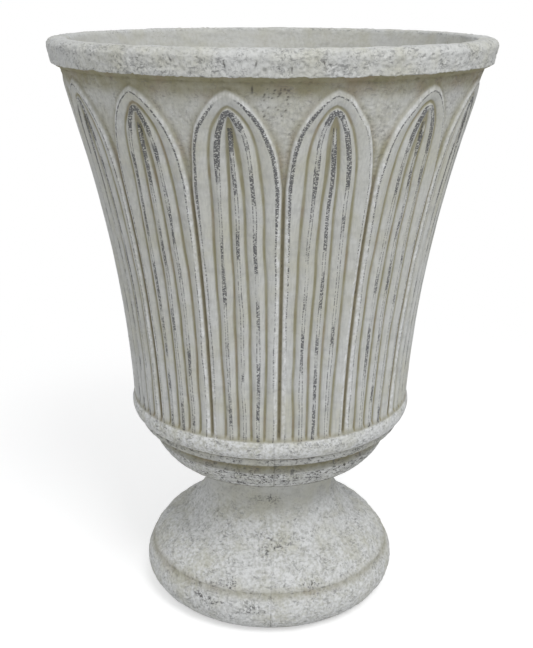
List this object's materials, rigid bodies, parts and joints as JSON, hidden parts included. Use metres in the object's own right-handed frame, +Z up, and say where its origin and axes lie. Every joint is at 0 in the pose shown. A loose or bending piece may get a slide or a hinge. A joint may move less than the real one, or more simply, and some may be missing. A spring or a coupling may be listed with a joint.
{
  "type": "urn planter",
  "caption": "Pedestal urn planter in whitewashed cast stone: flared bowl with a rolled rim and a ring of pointed ribbed leaves, on a domed foot.",
  "frame": {"origin": "on the floor under the urn's axis, at the underside of the foot pads", "axes": "+Z up along the urn's axis; -Y is the front, which the picture shows"},
  "size_m": [0.4, 0.4, 0.5505],
  "materials": {
    "cast_stone_bowl": "whitewashed cast stone, dry brushed dark on the ribs, matt",
    "cast_stone_pedestal": "whitewashed cast stone, rough stucco texture, matt",
    "mortar": "struck mortar, matt",
    "zinc_steel": "galvanised, dull",
    "black_rubber": "matt"
  },
  "bodies": {
    "root": {"bowl": "cast_stone_bowl", "pedestal": "cast_stone_pedestal", "bedding_joint": "mortar", "tie_pipe": "zinc_steel", "top_nut": "zinc_steel", "plate_washer": "zinc_steel", "sealing_washer": "black_rubber", "bottom_washer": "zinc_steel", "bottom_nut": "zinc_steel", "foot_pads": "black_rubber"}
  },
  "joints": []
}
